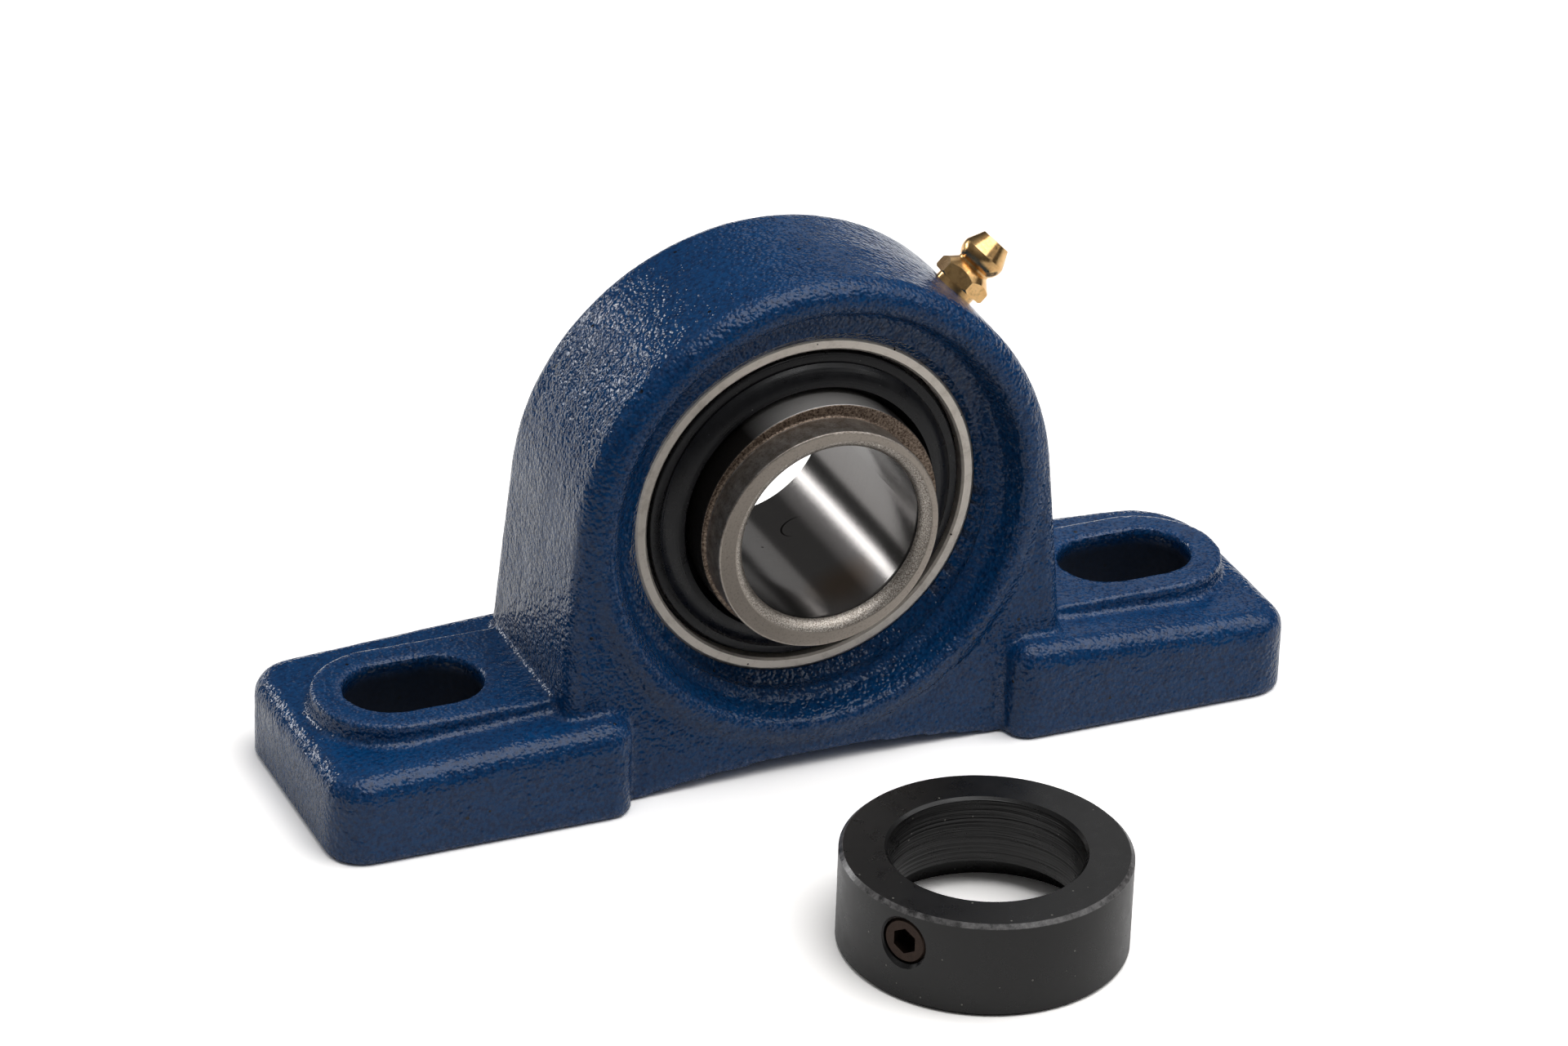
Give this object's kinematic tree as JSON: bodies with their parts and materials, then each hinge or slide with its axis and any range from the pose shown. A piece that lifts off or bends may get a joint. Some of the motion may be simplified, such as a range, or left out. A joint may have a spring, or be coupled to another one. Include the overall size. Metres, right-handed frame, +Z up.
{
  "type": "pillow block bearing",
  "caption": "Cast pillow block with two slotted feet, a sealed self-aligning ball insert and its eccentric locking collar taken off.",
  "frame": {"origin": "centre of the base, on the mounting plane, midway between the bolt slots and under the shaft axis", "axes": "+X along the base, +Y along the shaft away from the collar side, +Z up"},
  "size_m": [0.14, 0.1009, 0.0708],
  "materials": {
    "housing_enamel": "gloss enamel over cast iron",
    "outer_ring_steel": "ground",
    "inner_ring_steel": "ground bore, dark cam",
    "cage_steel": "pressed",
    "ball_steel": "polished",
    "seal_rubber": "satin",
    "fitting_brass": "turned",
    "spring_steel": "drawn wire",
    "collar_black_oxide": "black oxide, worn edges",
    "set_screw_steel": "dark, browned"
  },
  "bodies": {
    "housing": {"housing": "housing_enamel", "grease_fitting": "fitting_brass", "grease_check_spring": "spring_steel"},
    "outer_ring": {"outer_ring": "outer_ring_steel", "front_seal_shield": "seal_rubber", "back_seal_shield": "seal_rubber", "front_seal_lip": "seal_rubber", "back_seal_lip": "seal_rubber"},
    "inner_ring": {"inner_ring": "inner_ring_steel"},
    "cage": {"front_cage_half": "cage_steel", "back_cage_half": "cage_steel", "cage_rivets": "cage_steel"},
    "ball_1": {"ball_1": "ball_steel"},
    "ball_2": {"ball_2": "ball_steel"},
    "ball_3": {"ball_3": "ball_steel"},
    "ball_4": {"ball_4": "ball_steel"},
    "ball_5": {"ball_5": "ball_steel"},
    "ball_6": {"ball_6": "ball_steel"},
    "ball_7": {"ball_7": "ball_steel"},
    "ball_8": {"ball_8": "ball_steel"},
    "ball_9": {"ball_9": "ball_steel"},
    "check_ball": {"grease_check_ball": "ball_steel"},
    "collar": {"locking_collar": "collar_black_oxide"},
    "set_screw": {"collar_set_screw": "set_screw_steel"}
  },
  "joints": [
    {"name": "ring_align", "type": "hinge", "parent": "housing", "child": "outer_ring", "pos_m": [0, 0, 0.0365], "axis": [1, 0, 0], "range_deg": [-2, 2]},
    {"name": "inner_spin", "type": "hinge", "parent": "outer_ring", "child": "inner_ring", "pos_m": [0, 0, 0.0365], "axis": [0, 1, 0], "continuous": true},
    {"name": "cage_spin", "type": "hinge", "parent": "outer_ring", "child": "cage", "pos_m": [0, 0, 0.0365], "axis": [0, 1, 0], "continuous": true},
    {"name": "ball_1_roll", "type": "hinge", "parent": "cage", "child": "ball_1", "pos_m": [0, 0, 0.056], "axis": [0, 1, 0], "continuous": true},
    {"name": "ball_2_roll", "type": "hinge", "parent": "cage", "child": "ball_2", "pos_m": [0.01253, 0, 0.05144], "axis": [0, 1, 0], "continuous": true},
    {"name": "ball_3_roll", "type": "hinge", "parent": "cage", "child": "ball_3", "pos_m": [0.0192, 0, 0.03989], "axis": [0, 1, 0], "continuous": true},
    {"name": "ball_4_roll", "type": "hinge", "parent": "cage", "child": "ball_4", "pos_m": [0.01689, 0, 0.02675], "axis": [0, 1, 0], "continuous": true},
    {"name": "ball_5_roll", "type": "hinge", "parent": "cage", "child": "ball_5", "pos_m": [0.00667, 0, 0.01818], "axis": [0, 1, 0], "continuous": true},
    {"name": "ball_6_roll", "type": "hinge", "parent": "cage", "child": "ball_6", "pos_m": [-0.00667, 0, 0.01818], "axis": [0, 1, 0], "continuous": true},
    {"name": "ball_7_roll", "type": "hinge", "parent": "cage", "child": "ball_7", "pos_m": [-0.01689, 0, 0.02675], "axis": [0, 1, 0], "continuous": true},
    {"name": "ball_8_roll", "type": "hinge", "parent": "cage", "child": "ball_8", "pos_m": [-0.0192, 0, 0.03989], "axis": [0, 1, 0], "continuous": true},
    {"name": "ball_9_roll", "type": "hinge", "parent": "cage", "child": "ball_9", "pos_m": [-0.01253, 0, 0.05144], "axis": [0, 1, 0], "continuous": true},
    {"name": "check_ball_press", "type": "slide", "parent": "housing", "child": "check_ball", "axis": [-0.7071, 0, -0.7071], "range_m": [0, 0.001], "stiffness_N_per_m": 150, "springref_m": -0.0008, "deforming": ["grease_check_spring"]},
    {"name": "collar_lift", "type": "slide", "parent": "housing", "child": "collar", "axis": [0, 0, 1], "range_m": [0, 0.08]},
    {"name": "set_screw_travel", "type": "slide", "parent": "collar", "child": "set_screw", "axis": [0.8508, 0.5255, 0], "range_m": [-0.002, 0.0006]}
  ],
  "couplings": [
    {"joint": "cage_spin", "follows": "inner_spin", "ratio": 0.39823},
    {"joint": "ball_1_roll", "follows": "inner_spin", "ratio": -2.3548},
    {"joint": "ball_2_roll", "follows": "inner_spin", "ratio": -2.3548},
    {"joint": "ball_3_roll", "follows": "inner_spin", "ratio": -2.3548},
    {"joint": "ball_4_roll", "follows": "inner_spin", "ratio": -2.3548},
    {"joint": "ball_5_roll", "follows": "inner_spin", "ratio": -2.3548},
    {"joint": "ball_6_roll", "follows": "inner_spin", "ratio": -2.3548},
    {"joint": "ball_7_roll", "follows": "inner_spin", "ratio": -2.3548},
    {"joint": "ball_8_roll", "follows": "inner_spin", "ratio": -2.3548},
    {"joint": "ball_9_roll", "follows": "inner_spin", "ratio": -2.3548}
  ]
}
